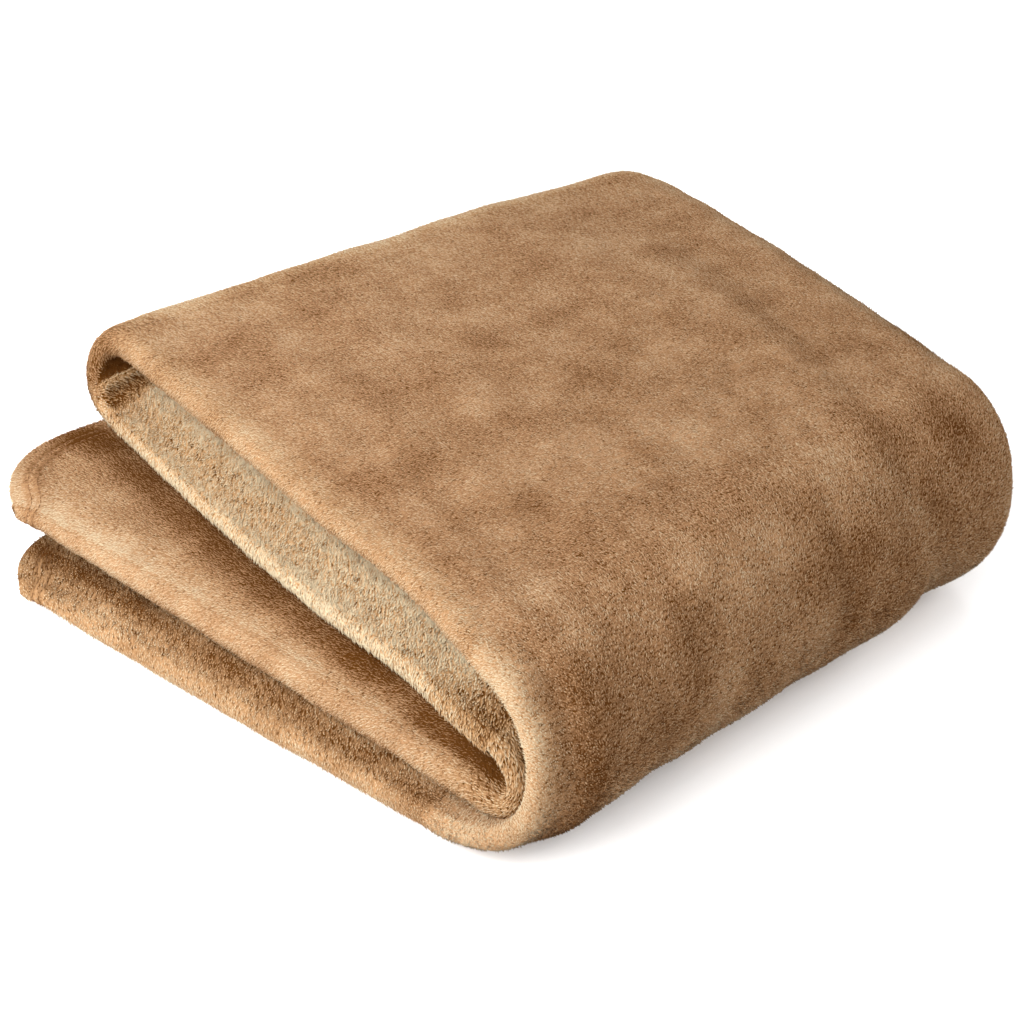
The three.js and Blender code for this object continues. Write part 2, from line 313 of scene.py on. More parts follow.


# How far the creases raise or lower the outer face
def creaseAt(along, fromLeft):
    total = np.zeros_like(fromLeft)
    for a0, d0, a1, d1, width, height, fade in creases:
        share = (along - a0) / (a1 - a0)
        ends = smoothStep((along - a0 + fade) / fade) * smoothStep((a1 + fade - along) / fade)
        total += height * ends * np.exp(-(((fromLeft - d0 - (d1 - d0) * share) / width) ** 2))
    return total


# Where the sections lie along each stretch, with finer steps at the two hemmed ends
def sectionPlaces():
    ends = np.concatenate([[0], hemSteps])
    farAway = 1000.0
    found = []
    for index, stretch in enumerate(stretches):
        first, last = index == 0, index == len(stretches) - 1
        length = float(np.linalg.norm(middlePoint(stretch, 0, 0.5) - middlePoint(stretch, 1, 0.5)))
        ts = np.linspace(0, 1, stretch["steps"] + 1)
        if first:
            ts = np.concatenate([ends / length, np.linspace(ends[-1] / length, 1, stretch["steps"] + 1)[1:]])
        if last:
            rest = np.linspace(0, 1 - ends[-1] / length, stretch["steps"] + 1)[:-1]
            ts = np.concatenate([rest, 1 - ends[::-1] / length])
        if not first:
            ts = ts[1:]
        for t in ts:
            fromEnd = t * length if first else (1 - t) * length if last else farAway
            found.append((stretch, float(t), fromEnd))
    return found


def buildSheet():
    rows = sectionPlaces()
    origin = np.array([*fold["middle"], 0])
    fronts, backs, alongs, names, distances = [], [], [], [], []
    along = 0.0
    previous = None
    for stretch, t, fromEnd in rows:
        here = middlePoint(stretch, t, 0.5)[0]
        if previous is not None:
            along += float(np.linalg.norm(here - previous))
        previous = here
        front, back, ply, across, distance = placeSection(stretch, t, fromEnd, along)
        fronts.append((front - origin) * mm)
        backs.append((back - origin) * mm)
        alongs.append(along)
        names.append(stretch["name"])
        distances.append(distance)
    return np.array(fronts), np.array(backs), ply, np.array(alongs), across, names, np.array(distances)


def gridQuads(rowsCount, columnsCount, offset, flip):
    i, j = np.meshgrid(np.arange(rowsCount - 1), np.arange(columnsCount - 1), indexing="ij")
    a = offset + i * columnsCount + j
    quads = np.stack([a, a + columnsCount, a + columnsCount + 1, a + 1], axis=-1).reshape(-1, 4)
    return quads[:, ::-1] if flip else quads


def stripQuads(a, b):
    return np.stack([a[:-1], b[:-1], b[1:], a[1:]], axis=-1)


def meshFrom(name, points, quads):
    mesh = bpy.data.meshes.new(name)
    mesh.vertices.add(len(points))
    mesh.vertices.foreach_set("co", points.astype(np.float32).ravel())
    mesh.loops.add(len(quads) * 4)
    mesh.loops.foreach_set("vertex_index", quads.astype(np.int32).ravel())
    mesh.polygons.add(len(quads))
    mesh.polygons.foreach_set("loop_start", np.arange(0, len(quads) * 4, 4, dtype=np.int32))
    mesh.polygons.foreach_set("use_smooth", np.ones(len(quads), bool))
    mesh.update(calc_edges=True)
    mesh.validate()
    return mesh


def addValues(mesh, name, values, kind="FLOAT"):
    attribute = mesh.attributes.new(name, kind, "POINT")
    key = "vector" if kind == "FLOAT_VECTOR" else "value"
    attribute.data.foreach_set(key, np.asarray(values, np.float32).ravel())


def linked(name, data):
    made = bpy.data.objects.new(name, data)
    bpy.context.scene.collection.objects.link(made)
    return made


# How far each point of the outer face lies from the nearest hemmed edge, in metres
def hemDistances(fronts, plies, acrosses):
    count = sheetDetail["hemSections"]
    fromEdge = np.ones(fronts.shape[:2]) * (acrosses + sheetDetail["sideHemStart"])[None, :] * mm
    columns = plies < 4
    for rows, end in ((slice(0, count), 0), (slice(-count, None), -1)):
        points = fronts[rows][:, columns].reshape(-1, 3)
        edge = fronts[end][columns]
        start, step = edge[:-1], np.diff(edge, axis=0)
        share = np.einsum("pk,ek->pe", points, step) - np.sum(start * step, axis=1)
        share = np.clip(share / (np.sum(step * step, axis=1) + 1e-12), 0, 1)
        nearest = start[None] + share[..., None] * step[None]
        found = np.linalg.norm(points[:, None] - nearest, axis=2).min(axis=1).reshape(-1, int(columns.sum()))
        fromEdge[rows, columns] = np.minimum(fromEdge[rows, columns], found)
    return fromEdge


print("folding the sheet")
fronts, backs, plies, alongs, acrosses, sectionNames, fromLeft = buildSheet()
sectionCount, pointCount = fronts.shape[:2]
fromHem = hemDistances(fronts, plies, acrosses)

# Directions square to the sheet and along its length, on the outer face
alongWay = np.gradient(fronts, axis=0)
acrossWay = np.gradient(fronts, axis=1)
outWay = np.cross(alongWay, acrossWay)
outWay /= np.linalg.norm(outWay, axis=2)[..., None] + 1e-12
inHem = smoothStep((sheetDetail["hemWidth"] - fromHem / mm) / sheetDetail["hemFade"] + 0.4)
hemRise = sheetDetail["hemRise"] * inHem * mm
for row in sheetDetail["hemRows"]:
    groove = np.exp(-(((fromHem / mm - row) / sheetDetail["grooveWidth"]) ** 2))
    hemRise -= sheetDetail["grooveDepth"] * mm * groove
fronts += outWay * np.where(plies < 4, hemRise, 0)[..., None]
for face in (fronts, backs):
    face[..., 2] = np.maximum(face[..., 2], sheetDetail["floorGap"] * mm)


def unit(vectors):
    return vectors / (np.linalg.norm(vectors, axis=-1)[..., None] + 1e-12)


def eased(values, rounds):
    values = values.copy()
    for _ in range(rounds):
        values[1:-1] = (values[:-2] + values[1:-1] * 2 + values[2:]) / 4
    return values


# A value for each stretch, eased along the cloth from one to the next
def perRow(table, rounds):
    rows = np.array([table[name] for name in sectionNames], float)
    return eased(rows, rounds)[:, None] * np.ones((1, pointCount))


# A value for each distance along the cloth, in millimetres
def alongCloth(table):
    return np.interp(alongs, list(table), list(table.values()))[:, None]


def rimShare(reach, fade):  # 1 at the left fold, 0 beyond its reach
    return smoothStep((reach - fromLeft) / fade)


def bell(distance, width):
    return np.exp(-((distance / width) ** 2))


def inLayer(names, chosen):
    return np.array([n in names for n in sectionNames])[:, None] & np.isin(plies, chosen)[None, :]


# Which way the pile is brushed: along the cloth, across it, and across it beside the left fold
napTable = {
    "bottom": (0.7, -0.8, -0.8),
    "frontFold": (0.8, 0.1, 0.7),
    "top": (0.25, 0.9, 1.0),
    "backLoop": (0.5, 0.2, 0.6),
    "under": (0.8, -0.7, -0.9),
    "innerBend": (0.8, -0.2, -0.2),
    "upperEnd": (0.7, 0.3, 0.8),
}
napAlong, napOver, napRim = (perRow({name: row[k] for name, row in napTable.items()}, 8) for k in range(3))
napOver = napOver + (napRim - napOver) * rimShare(45, 35)
napWay = unit(alongWay) * napAlong[..., None] + unit(acrossWay) * napOver[..., None]
napWay = unit(napWay - outWay * np.sum(napWay * outWay, axis=2)[..., None])

frontQuads = gridQuads(sectionCount, pointCount, 0, False)
backStart = sectionCount * pointCount
backQuads = gridQuads(sectionCount, pointCount, backStart, True)
firstColumn = np.arange(sectionCount) * pointCount
lastColumn = firstColumn + pointCount - 1
firstRow = np.arange(pointCount)
lastRow = firstRow + (sectionCount - 1) * pointCount
edgeQuads = np.concatenate([
    stripQuads(firstColumn, firstColumn + backStart)[:, ::-1],
    stripQuads(lastColumn, lastColumn + backStart),
    stripQuads(firstRow, firstRow + backStart),
    stripQuads(lastRow, lastRow + backStart)[:, ::-1],
])
sheetPoints = np.concatenate([fronts.reshape(-1, 3), backs.reshape(-1, 3)])
sheetQuads = np.concatenate([frontQuads, backQuads, edgeQuads])
print("sheet triangles", 2 * len(sheetQuads))

# How open each place of the outer face is, so that pile is only made where it can be seen
openness = {"azimuths": 10, "elevations": (8, 35, 65), "enough": 5, "grazing": 0.02, "start": 1.2 * mm}


def skyWays():
    ways = [Vector((0, 0, 1))]
    for elevation in openness["elevations"]:
        e = math.radians(elevation)
        for i in range(openness["azimuths"]):
            a = 2 * math.pi * (i + elevation / 90) / openness["azimuths"]
            ways.append(Vector((math.cos(a) * math.cos(e), math.sin(a) * math.cos(e), math.sin(e))))
    return ways


def findOpenness():
    tree = BVHTree.FromPolygons([tuple(p) for p in sheetPoints], [tuple(q) for q in sheetQuads.tolist()])
    ways = skyWays()
    wayArray = np.array([tuple(w) for w in ways])
    found = np.zeros((sectionCount, pointCount))
    wanted = np.nonzero(plies < 4)[0][::2]
    for i in range(0, sectionCount, 2):
        facing = outWay[i] @ wayArray.T
        for j in wanted:
            start = Vector(fronts[i, j] + outWay[i, j] * openness["start"])
            hits = 0
            for k in np.argsort(-facing[j]):
                if facing[j, k] < openness["grazing"]:
                    break
                if tree.ray_cast(start, ways[k])[0] is None:
                    hits += 1
                    if hits == openness["enough"]:
                        break
            found[i, j] = hits / openness["enough"]
    between = plies < 4
    between[wanted] = False
    for i in range(0, sectionCount, 2):
        found[i, between] = np.interp(np.nonzero(between)[0], wanted, found[i, wanted])
    found[1:-1:2] = (found[0:-2:2] + found[2::2]) / 2
    if sectionCount % 2 == 0:
        found[-1] = found[-2]
    return found


print("finding what can be seen")
seen = findOpenness()

# Which pile grows where
zoneOf = {"bottom": 5, "frontFold": 2, "top": 0, "backLoop": 3, "under": 3, "innerBend": 3, "upperEnd": 4}
zones = np.array([zoneOf[name] for name in sectionNames])[:, None] * np.ones((1, pointCount))
zones[(zones == 0) & (acrosses < 160)] = 1  # the right-hand half of the top

# How rough the pile looks: brushed down on the faces that lie with the nap, standing up on the others
roughAt = {0: 0.4, 270: 0.4, 300: 0.8, 335: 1.0, 378: 0.85, 410: 0.45, 445: 0.08, 690: 0.0, 705: 0.8,
           1024: 1.0, 1045: 0.2, 1347: 0.1}
roughOnTurn = {"under": 0.8, "innerBend": 0.6}
onTurn = np.array([roughOnTurn.get(name, 0.4) for name in sectionNames])[:, None]
rough = alongCloth(roughAt) * np.where(plies == 1, onTurn, 1.0)

# Where the pile is golden and lies in long slanting strokes
combedOf = {"bottom": 0.55, "frontFold": 0.1, "top": 0.0, "backLoop": 0.5, "under": 1.0, "innerBend": 0.8,
            "upperEnd": 0.2}
combed = np.maximum(perRow(combedOf, 14), inLayer(("backLoop",), (2,)))
combed = np.maximum(combed, np.where(inLayer(("top", "frontFold"), (0, 1)), 0.4 * rimShare(22, 18), 0))

leftEdges = {}
for name in ("top", "under", "upperEnd"):
    edge = fronts[np.array([n == name for n in sectionNames])][:, plies == 1]
    order = np.argsort(edge[..., 1].mean(axis=1))
    leftEdges[name] = (edge[..., 1].mean(axis=1)[order], edge[..., 0].min(axis=1)[order])


# How far the sheet's points lie beside the left edge of a layer above them, in millimetres
def besideEdge(name):
    return (np.interp(fronts[..., 1], *leftEdges[name]) - fronts[..., 0]) / mm


turnPoints = np.nonzero(plies == 1)[0]
turnShare = np.interp(np.arange(pointCount), turnPoints, np.linspace(0, 1, len(turnPoints)))
# Where the back loop is, for its painted shade
inBackLoop = perRow({stretch["name"]: stretch["name"] == "backLoop" for stretch in stretches}, 16)
fromRim = smoothStep((fromLeft - 3) / 10)
onEndPass = smoothStep((alongs - 1022) / 10)[:, None]
# Painted light on the layer under the top, and painted shade at the front of the inner bend
underLightAndBendShade = alongCloth({700: 0, 720: 1, 965: 1, 995: 0.2, 1015: -0.4})
# Painted sheen highlight on the cream rims of the left folds
topRimSheen = alongCloth({300: 0.12, 420: 0.24, 600: 0.24, 690: 0.048})
endRimSheen = alongCloth({1024: 0.1, 1120: 0.2, 1300: 0.26, 1347: 0.2})
endShadeDepth = 0.42 * (1 + 0.7 * smoothStep((1120 - alongs) / 90)[:, None])  # strength of the painted shade, deepest at the front
endShade = endShadeDepth * bell(besideEdge("under"), 11) + 0.1 * bell(besideEdge("under"), 42)
# Painted light and shade near the floor on the front fold: darker near the left fold, lighter beyond it
lowFrontLightAndShade = smoothStep((0.035 - fronts[..., 2]) / 0.03) * np.where(fromLeft < 110, -1, 1)
# Painted shade in the back loop's hollow, lighter on its ridge
loopHollowShade = np.where(alongs < 721, 0.6 * bell(alongs - loopRidge["along"], 3) - 0.9, 0)[:, None]
allNames = set(sectionNames)

# Tone of the pile, lighter above 0 and darker below, much of it painted light and shade: stretches, plies, tone
shades = [
    (("top", "upperEnd"), (1,), -0.26 * smoothStep((turnShare - 0.45) / 0.35)),  # painted shade on the undersides of the folds
    (("top", "upperEnd"), (2,), -0.14),
    (("under",), (0, 1), -0.2 * smoothStep((0.45 - turnShare) / 0.35)),
    (("top", "frontFold"), (0,), topRimSheen * rimShare(22, 18) - 0.14),  # cream rims along the left folds: painted sheen highlight
    (("upperEnd", "innerBend"), (0, 1), endRimSheen * rimShare(22, 18)),
    (("frontFold",), (0, 1), 0.2 * rimShare(13, 9)),
    (allNames, (1,), 0.5 * underLightAndBendShade - 0.34 * inBackLoop),  # painted light under the top, painted shade in the back loop and at the inner bend
    (allNames, (2,), 0.62 * underLightAndBendShade),
    # painted shade in the back loop beside the left fold
    (allNames, (0,), -0.34 * inBackLoop * rimShare(36, 30)),
    # painted shade in the hollow of the back loop
    (("backLoop", "under"), (2,), loopHollowShade),
    (("upperEnd", "innerBend"), (0, 1), -fromRim * onEndPass * endShade),  # painted shade in the narrow places below a layer
    # painted shadow of the top's left edge on the layer under it
    (("under",), (1, 2), -0.45 * bell(besideEdge("top"), 14)),
    # painted shadow of the upper end's left edge on the bottom
    (("bottom",), (0, 1, 2), -0.3 * bell(besideEdge("upperEnd"), 6)),
    # painted light and shade near the floor
    (("frontFold",), (0,), 0.1 * lowFrontLightAndShade),
]
# From which way the pile is brushed along the cloth
toneAt = {0: -0.03, 60: 0.01, 290: 0.02, 305: 0.0, 335: -0.08, 378: -0.04, 445: -0.02, 690: 0.0, 705: 0.05,
          1000: 0.15, 1015: 0.05, 1060: 0.0, 1200: -0.02, 1347: -0.06}
# Lighter and darker patches where a hand has passed, the darkest, beside the rim at the front, being painted shade:
# along the cloth, from its left fold, spreads, tone
patches = [
    (684, 45, 12, 26, 0.12), (661, 172, 14, 40, 0.10), (552, 40, 16, 12, 0.06), (430, 46, 30, 7, 0.16),
    (437, 167, 30, 35, 0.08), (379, 142, 18, 30, 0.16), (402, 195, 18, 22, 0.12), (640, 82, 12, 20, -0.09),
    (585, 96, 10, 16, 0.10), (601, 200, 20, 30, -0.08), (568, 116, 20, 30, -0.08), (524, 66, 14, 20, -0.08),
    (520, 6, 26, 7, -0.12), (416, 122, 18, 24, -0.10), (368, 71, 14, 20, -0.14), (363, 169, 12, 14, -0.18),
    (385, 262, 24, 26, -0.2), (325, 27, 26, 8, -0.24), (514, 258, 30, 12, -0.12), (540, 240, 40, 8, 0.12),
    (640, 100, 9, 20, -0.10), (676, 190, 10, 60, 0.12), (480, 110, 22, 20, 0.08), (540, 160, 18, 26, 0.05),
    (345, 100, 12, 16, 0.08), (340, 215, 16, 22, -0.10), (440, 66, 26, 8, -0.08), (590, 40, 18, 8, -0.06),
    (390, 100, 10, 14, 0.07),
]
tone = alongCloth(toneAt) * np.ones((1, pointCount))
for names, chosen, amount in shades:
    tone += np.where(inLayer(names, chosen), amount, 0)
for a, d, alongSpread, acrossSpread, amount in patches:
    patch = bell(alongs[:, None] - a, alongSpread) * bell(fromLeft - d, acrossSpread)
    tone += np.where(plies == 0, amount * patch, 0)


# Values of the outer face's points and then of the inner face's, which are 0 where none are given
def bothFaces(outer, inner=None):
    faces = (outer, np.zeros_like(outer) if inner is None else inner)
    return np.concatenate([np.asarray(face).reshape(sectionCount * pointCount, -1) for face in faces]).squeeze()


sheetMesh = meshFrom("throwCloth", sheetPoints, sheetQuads)
# How far up from the roots the colour of the bare cloth lies: outer face, more near the floor, inner face
clothTip = {"outer": 0.45, "atFloor": 0.2, "inner": 0.65}
nearFloor = smoothStep((0.008 - fronts[..., 2]) / 0.005)
outerTip = clothTip["outer"] + clothTip["atFloor"] * nearFloor
laid = np.stack(np.broadcast_arrays(acrosses[None, :] * mm, alongs[:, None] * mm, 0.0), axis=-1)
addValues(sheetMesh, "seen", bothFaces(seen))
addValues(sheetMesh, "zone", bothFaces(zones, zones * 0 - 1))
addValues(sheetMesh, "rough", bothFaces(rough, rough))
addValues(sheetMesh, "combed", bothFaces(combed))
addValues(sheetMesh, "tone", bothFaces(tone, tone))
addValues(sheetMesh, "hem", bothFaces(fromHem, np.ones_like(fromHem)))
addValues(sheetMesh, "tip", bothFaces(outerTip, np.full_like(seen, clothTip["inner"])))
addValues(sheetMesh, "nap", bothFaces(napWay, napWay), "FLOAT_VECTOR")
addValues(sheetMesh, "away", bothFaces(outWay, -outWay), "FLOAT_VECTOR")
addValues(sheetMesh, "laid", bothFaces(laid, laid), "FLOAT_VECTOR")


# The sheet's own map for baking: outer face in the upper part, inner face below it, edges at the foot
def makeBakeMap():
    acrossShare = np.where(plies < 3, 3.0, 1.0)  # more room for the plies that can be seen
    acrossShare = np.concatenate([[0], np.cumsum((acrossShare[1:] + acrossShare[:-1]) / 2 * np.diff(acrosses))])
    acrossShare = np.broadcast_to(acrossShare / acrossShare[-1], (sectionCount, pointCount))
    alongShare = np.broadcast_to(0.01 + 0.98 * (alongs / alongs[-1])[:, None], (sectionCount, pointCount))
    faces = [np.stack([alongShare, low + high * acrossShare], axis=-1) for low, high in ((0.26, 0.73), (0.03, 0.2))]
    cornerMap = np.concatenate([face.reshape(-1, 2) for face in faces])[sheetQuads.ravel()].reshape(-1, 4, 2)
    edgeCount = len(edgeQuads)
    for k, run, rise in ((0, 0, 0), (1, 0, 0.01), (2, 0.9, 0.01), (3, 0.9, 0)):
        cornerMap[-edgeCount:, k, 0] = 0.01 + (0.98 * np.arange(edgeCount) + run) / edgeCount
        cornerMap[-edgeCount:, k, 1] = 0.005 + rise
    sheetMesh.uv_layers.new(name="OFBake").data.foreach_set("uv", cornerMap.astype(np.float32).ravel())


makeBakeMap()
throwCloth = linked("throwCloth", sheetMesh)

cameraView = {"azimuth": -45, "elevation": 35, "distance": 1.009, "lens": 77.34, "sensor": 36,
              "target": (-0.02699, -0.01265, 0.032)}


def wayTo(azimuth, elevation):
    a, e = math.radians(azimuth), math.radians(elevation)
    return Vector((math.cos(a) * math.cos(e), math.sin(a) * math.cos(e), math.sin(e)))


cameraWay = wayTo(cameraView["azimuth"] - 90, cameraView["elevation"])
camera = linked("camera", bpy.data.cameras.new("camera"))
camera.location = Vector(cameraView["target"]) + cameraWay * cameraView["distance"]
camera.rotation_euler = cameraWay.to_track_quat("Z", "Y").to_euler()
camera.data.sensor_width = cameraView["sensor"]
camera.data.lens = cameraView["lens"]
bpy.context.scene.camera = camera


def socket(sockets, name):
    return next(s for s in sockets if s.enabled and s.name == name)


# Adds a node: settings are its properties, and inputs are values or other nodes' outputs
def addNode(tree, kind, inputs=None, **settings):
    node = tree.nodes.new(kind)
    for key, value in settings.items():
        setattr(node, key, value)
    for key, value in (inputs or {}).items():
        target = node.inputs[key] if isinstance(key, int) else socket(node.inputs, key)
        if isinstance(value, bpy.types.NodeSocket):
            tree.links.new(value, target)
        else:
            target.default_value = value
    return node


def mathOf(tree, operation, a, b=0.0, clamp=False):
    return addNode(tree, "ShaderNodeMath", {0: a, 1: b}, operation=operation, use_clamp=clamp).outputs[0]


def vectorOf(tree, operation, a, b=(0, 0, 0)):
    key = 3 if operation == "SCALE" else 1
    return addNode(tree, "ShaderNodeVectorMath", {0: a, key: b}, operation=operation).outputs[0]


def mixOf(tree, kind, factor, a, b):
    first, second, out = {"FLOAT": (2, 3, 0), "VECTOR": (4, 5, 1), "RGBA": (6, 7, 2)}[kind]
    return addNode(tree, "ShaderNodeMix", {0: factor, first: a, second: b}, data_type=kind).outputs[out]


def namedOf(tree, name, kind="FLOAT"):
    return addNode(tree, "GeometryNodeInputNamedAttribute", {"Name": name}, data_type=kind).outputs["Attribute"]


# A new group with named sockets: the tree, its inputs' values and its result's sockets
def startGroup(name, kind, inputs, outputs):
    tree = bpy.data.node_groups.new(name, kind)
    for title, socketKind, value in inputs:
        made = tree.interface.new_socket(name=title, in_out="INPUT", socket_type="NodeSocket" + socketKind)
        if value is not None:
            made.default_value = value
    for title, socketKind in outputs:
        tree.interface.new_socket(name=title, in_out="OUTPUT", socket_type="NodeSocket" + socketKind)
    return tree, tree.nodes.new("NodeGroupInput").outputs, tree.nodes.new("NodeGroupOutput").inputs


fleeceLook = {
    "root": (0.06, 0.021, 0.004, 1),
    "middle": (0.252, 0.138, 0.069, 1),
    "golden": (0.288, 0.164, 0.075, 1),  # instead of the middle colour in the long strokes
    "ends": (0.385, 0.312, 0.205, 1),
    "strokeDepth": 0.4,
    "clouds": 0.45,
    "largeClouds": (16.0, 2.0, (0.7, 1.2, 1)),  # scale, detail, stretch
    "smallClouds": (46.0, 3.0, (1, 0.8, 1)),
    "smallShare": 1.2,
    "speckle": 0.6,
    "roughSpeckle": 0.4,
    "combedSpeckle": 0.35,
    "pitsBelow": 0.47,
    "pitsSlope": 6.0,
    "pits": 0.16,
    "roughPits": 0.12,
    "combedPits": 0.04,
}
fleeceShader = {
    "Roughness": 0.9,
    "Specular IOR Level": 0.0,
    "Sheen Weight": 0.02,
    "Sheen Roughness": 0.5,
    "Sheen Tint": (1.0, 0.75, 0.5, 1),
}
fleeceColours = ("Root", "Middle", "Golden", "Ends")


# Colour of the fleece from its roots to its tips, with clouds of lighter and darker pile
def makeFleeceTone():
    inputs = [(title, "Float", 0.0) for title in ("Tip", "Tone", "Own Tone", "Rough", "Combed")]
    inputs += [(title, "Color", fleeceLook[title.lower()]) for title in fleeceColours]
    inputs += [("Cloud Amount", "Float", 0.2), ("Grain Scale", "Float", 1000.0)]
    inputs += [("Laid", "Vector", (0, 0, 0)), ("Place", "Vector", (0, 0, 0))]
    outputs = [("Color", "Color"), ("Height", "Float")]
    tree, given, result = startGroup("fleeceTone", "ShaderNodeTree", inputs, outputs)
    node, calc, vector, mix = (partial(tool, tree) for tool in (addNode, mathOf, vectorOf, mixOf))

    def cloud(scale, detail, stretch):
        place = node("ShaderNodeMapping", {"Vector": given["Laid"], "Scale": stretch}).outputs[0]
        look = {"Vector": place, "Scale": scale, "Detail": detail, "Roughness": 0.55}
        return node("ShaderNodeTexNoise", look).outputs[0]

    small = calc("MULTIPLY", cloud(*fleeceLook["smallClouds"]), fleeceLook["smallShare"])
    clouds = calc("ADD", cloud(*fleeceLook["largeClouds"]), small)
    clouds = calc("MULTIPLY", calc("SUBTRACT", clouds, 1.1), given["Cloud Amount"])
    shift = calc("ADD", calc("ADD", clouds, given["Tone"]), given["Own Tone"])

    brushed = node("ShaderNodeMapping", {"Vector": given["Place"], "Scale": (0.4, 1, 1)}).outputs[0]
    slanted = node("ShaderNodeMapping", {"Vector": given["Place"], "Rotation": (0, 0, -math.pi / 4)}).outputs[0]
    slanted = vector("MULTIPLY", slanted, (0.22, 0.68, 0.6))
    place = mix("VECTOR", calc("GREATER_THAN", given["Combed"], 0.5), brushed, slanted)
    look = {"Vector": place, "Scale": given["Grain Scale"], "Detail": 2.0, "Roughness": 0.6}
    grain = node("ShaderNodeTexNoise", look).outputs[0]
    tree.links.new(grain, result["Height"])

    def strength(kind):
        ofRough = calc("MULTIPLY", given["Rough"], fleeceLook["rough" + kind])
        ofCombed = calc("MULTIPLY", given["Combed"], fleeceLook["combed" + kind])
        return calc("ADD", calc("ADD", ofRough, ofCombed), fleeceLook[kind.lower()])

    speckle = calc("MULTIPLY", calc("SUBTRACT", grain, 0.5), strength("Speckle"))
    pits = calc("MULTIPLY", calc("SUBTRACT", fleeceLook["pitsBelow"], grain), fleeceLook["pitsSlope"], True)
    speckle = calc("SUBTRACT", speckle, calc("MULTIPLY", pits, strength("Pits")))
    below = calc("MULTIPLY", calc("SUBTRACT", 0.96, given["Tip"]), fleeceLook["strokeDepth"])
    tip = calc("SUBTRACT", given["Tip"], calc("MULTIPLY", below, given["Combed"]))
    share = calc("ADD", calc("ADD", tip, speckle), shift)
    between = mix("RGBA", given["Combed"], given["Middle"], given["Golden"])
    lower = mix("RGBA", calc("MULTIPLY", share, 2.0, True), given["Root"], between)
    upper = calc("MULTIPLY", calc("SUBTRACT", share, 0.5), 2.0, True)
    tree.links.new(mix("RGBA", upper, lower, given["Ends"]), result["Color"])
    return tree


fleeceTone = makeFleeceTone()


def makeFleece(name, grainScale, grainHeight):
    material = bpy.data.materials.new(name)
    material.use_nodes = True
    tree = material.node_tree
    shader = tree.nodes["Principled BSDF"]
    for title, value in fleeceShader.items():
        shader.inputs[title].default_value = value
    group = tree.nodes.new("ShaderNodeGroup")
    group.node_tree = fleeceTone
    for title in fleeceColours:
        group.inputs[title].default_value = fleeceLook[title.lower()]
    group.inputs["Cloud Amount"].default_value = fleeceLook["clouds"]
    group.inputs["Grain Scale"].default_value = grainScale
    read = {"Tip": "tip", "Tone": "tone", "Own Tone": "ownTone", "Rough": "rough", "Combed": "combed", "Laid": "laid"}
    for title, attribute in read.items():
        value = addNode(tree, "ShaderNodeAttribute", attribute_type="GEOMETRY", attribute_name=attribute)
        tree.links.new(value.outputs["Vector" if attribute == "laid" else "Fac"], group.inputs[title])
    tree.links.new(tree.nodes.new("ShaderNodeTexCoord").outputs["Object"], group.inputs["Place"])
    tree.links.new(group.outputs["Color"], shader.inputs["Base Color"])
    bump = tree.nodes.new("ShaderNodeBump")
    bump.inputs["Distance"].default_value = grainHeight
    tree.links.new(group.outputs["Height"], bump.inputs["Height"])
    tree.links.new(bump.outputs[0], shader.inputs["Normal"])
    return material


groundFleece = makeFleece("fleeceGround", 1100.0, 0.0008)
pileFleece = makeFleece("fleecePile", 1450.0, 0.0008)
sheetMesh.materials.append(groundFleece)

# One tuft of pile: three sides and a closed foot, one unit long, with its own map for baking
tuftShape = {"footRadius": 0.5, "tipAt": (0.0, 0.12, 1.0), "tips": (0.56, 0.56, 0.56, 0.96)}


def makeTuft():
    ring = [(math.cos(a), math.sin(a), 0.0) for a in (math.radians(90), math.radians(210), math.radians(330))]
    points = [tuple(c * tuftShape["footRadius"] for c in p) for p in ring] + [tuftShape["tipAt"]]
    mesh = bpy.data.meshes.new("tuft")
    mesh.from_pydata(points, [], [(0, 2, 1), (0, 1, 3), (1, 2, 3), (2, 0, 3)])
    mesh.validate()
    foot = [(0.04, 0.04), (0.08, 0.04), (0.04, 0.08)]  # hidden in the cloth
    fan = [(0.08, 0.92), (0.12, 0.12), (0.92, 0.08), (0.96, 0.96)]
    layout = [foot] + [[fan[k], fan[k + 1], (0.5, 0.55)] for k in range(3)]
    mesh.uv_layers.new(name="cell").data.foreach_set("uv", [c for face in layout for corner in face for c in corner])
    mesh.attributes.new("tip", "FLOAT", "POINT").data.foreach_set("value", tuftShape["tips"])
    return linked("tuft", mesh)


tuft = makeTuft()


# Gives each copy its own cell of a square grid in the map for baking
def cellOf(tree, which, copies):
    calc = partial(mathOf, tree)
    counted = addNode(tree, "GeometryNodeAttributeDomainSize", {"Geometry": copies}, component="INSTANCES")
    side = calc("CEIL", calc("SQRT", counted.outputs["Instance Count"]))
    row = calc("FLOOR", calc("DIVIDE", calc("ADD", which, 0.5), side))
    column = calc("SUBTRACT", which, calc("MULTIPLY", row, side))
    corner = addNode(tree, "ShaderNodeCombineXYZ", {0: column, 1: row}).outputs[0]
    cell = vectorOf(tree, "ADD", namedOf(tree, "cell", "FLOAT_VECTOR"), corner)
    return vectorOf(tree, "SCALE", cell, calc("DIVIDE", 1.0, side))


def stored(tree, geometry, name, value, kind, domain):
    return addNode(tree, "GeometryNodeStoreNamedAttribute", {"Geometry": geometry, "Name": name, "Value": value},
                   data_type=kind, domain=domain).outputs[0]


# The end of a tree: values that only it needs are dropped, and the material is set
def finishTree(tree, geometry, dropped, given, result):
    for name in dropped:
        geometry = addNode(tree, "GeometryNodeRemoveAttribute", {"Geometry": geometry, "Name": name}).outputs[0]
    finished = addNode(tree, "GeometryNodeSetMaterial", {"Geometry": geometry, "Material": given["Material"]})
    tree.links.new(finished.outputs[0], result["Geometry"])


